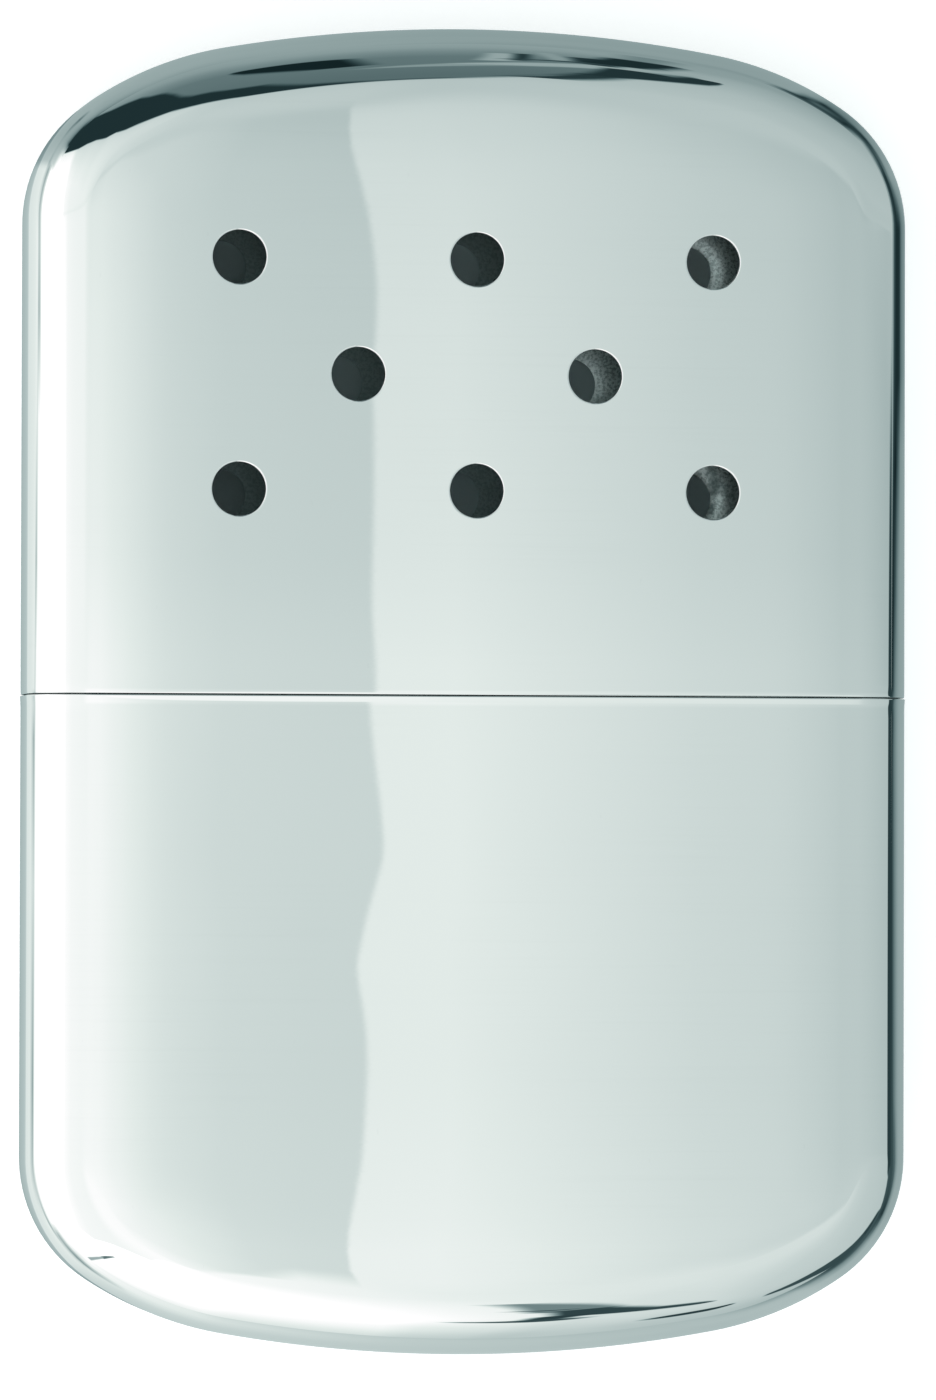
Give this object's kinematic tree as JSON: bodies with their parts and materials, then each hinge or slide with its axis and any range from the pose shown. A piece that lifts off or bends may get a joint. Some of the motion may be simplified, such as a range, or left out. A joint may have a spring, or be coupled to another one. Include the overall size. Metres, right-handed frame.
{
  "type": "catalytic hand warmer",
  "caption": "Flat pebble-shaped catalytic hand warmer: a vented lid pulls off a fuel tank packed with cotton, and a burner slides onto the oblong filler neck.",
  "frame": {"origin": "centre of the back, on the surface that the warmer lies on", "axes": "+X to the right and +Y towards the lid's closed end as one looks at the front, +Z out of the front face"},
  "size_m": [0.0662, 0.099, 0.013],
  "materials": {
    "chrome_shell": "polished chrome plate",
    "plated_steel": "drawn and plated",
    "burner_steel": "pressed sheet, lightly heat-tinted",
    "wire_cloth": "woven fine wire",
    "solder": "run solder, dull",
    "glass_fibre": "greyish glass-fibre mat",
    "felt": "pressed felt",
    "cotton": "loose cotton wool"
  },
  "bodies": {
    "tank": {"tank_case": "chrome_shell", "tank_cap": "plated_steel", "solder_ring": "solder", "filler_neck": "plated_steel", "wick_grate": "plated_steel", "wick_felt": "felt", "cotton_wad_1": "cotton", "cotton_wad_2": "cotton", "cotton_wad_3": "cotton", "cotton_wad_4": "cotton", "cotton_wad_5": "cotton", "cotton_wad_6": "cotton"},
    "lid": {"lid_shell": "chrome_shell"},
    "burner": {"burner_housing": "burner_steel", "burner_socket": "burner_steel", "burner_screen": "burner_steel", "burner_mesh": "wire_cloth", "catalyst_mat": "glass_fibre", "burner_rivets": "burner_steel"}
  },
  "joints": [
    {"name": "lid_pull", "type": "slide", "parent": "tank", "child": "lid", "axis": [0, 1, 0], "range_m": [0, 0.03]},
    {"name": "burner_pull", "type": "slide", "parent": "tank", "child": "burner", "axis": [0, 1, 0], "range_m": [0, 0.012]}
  ]
}
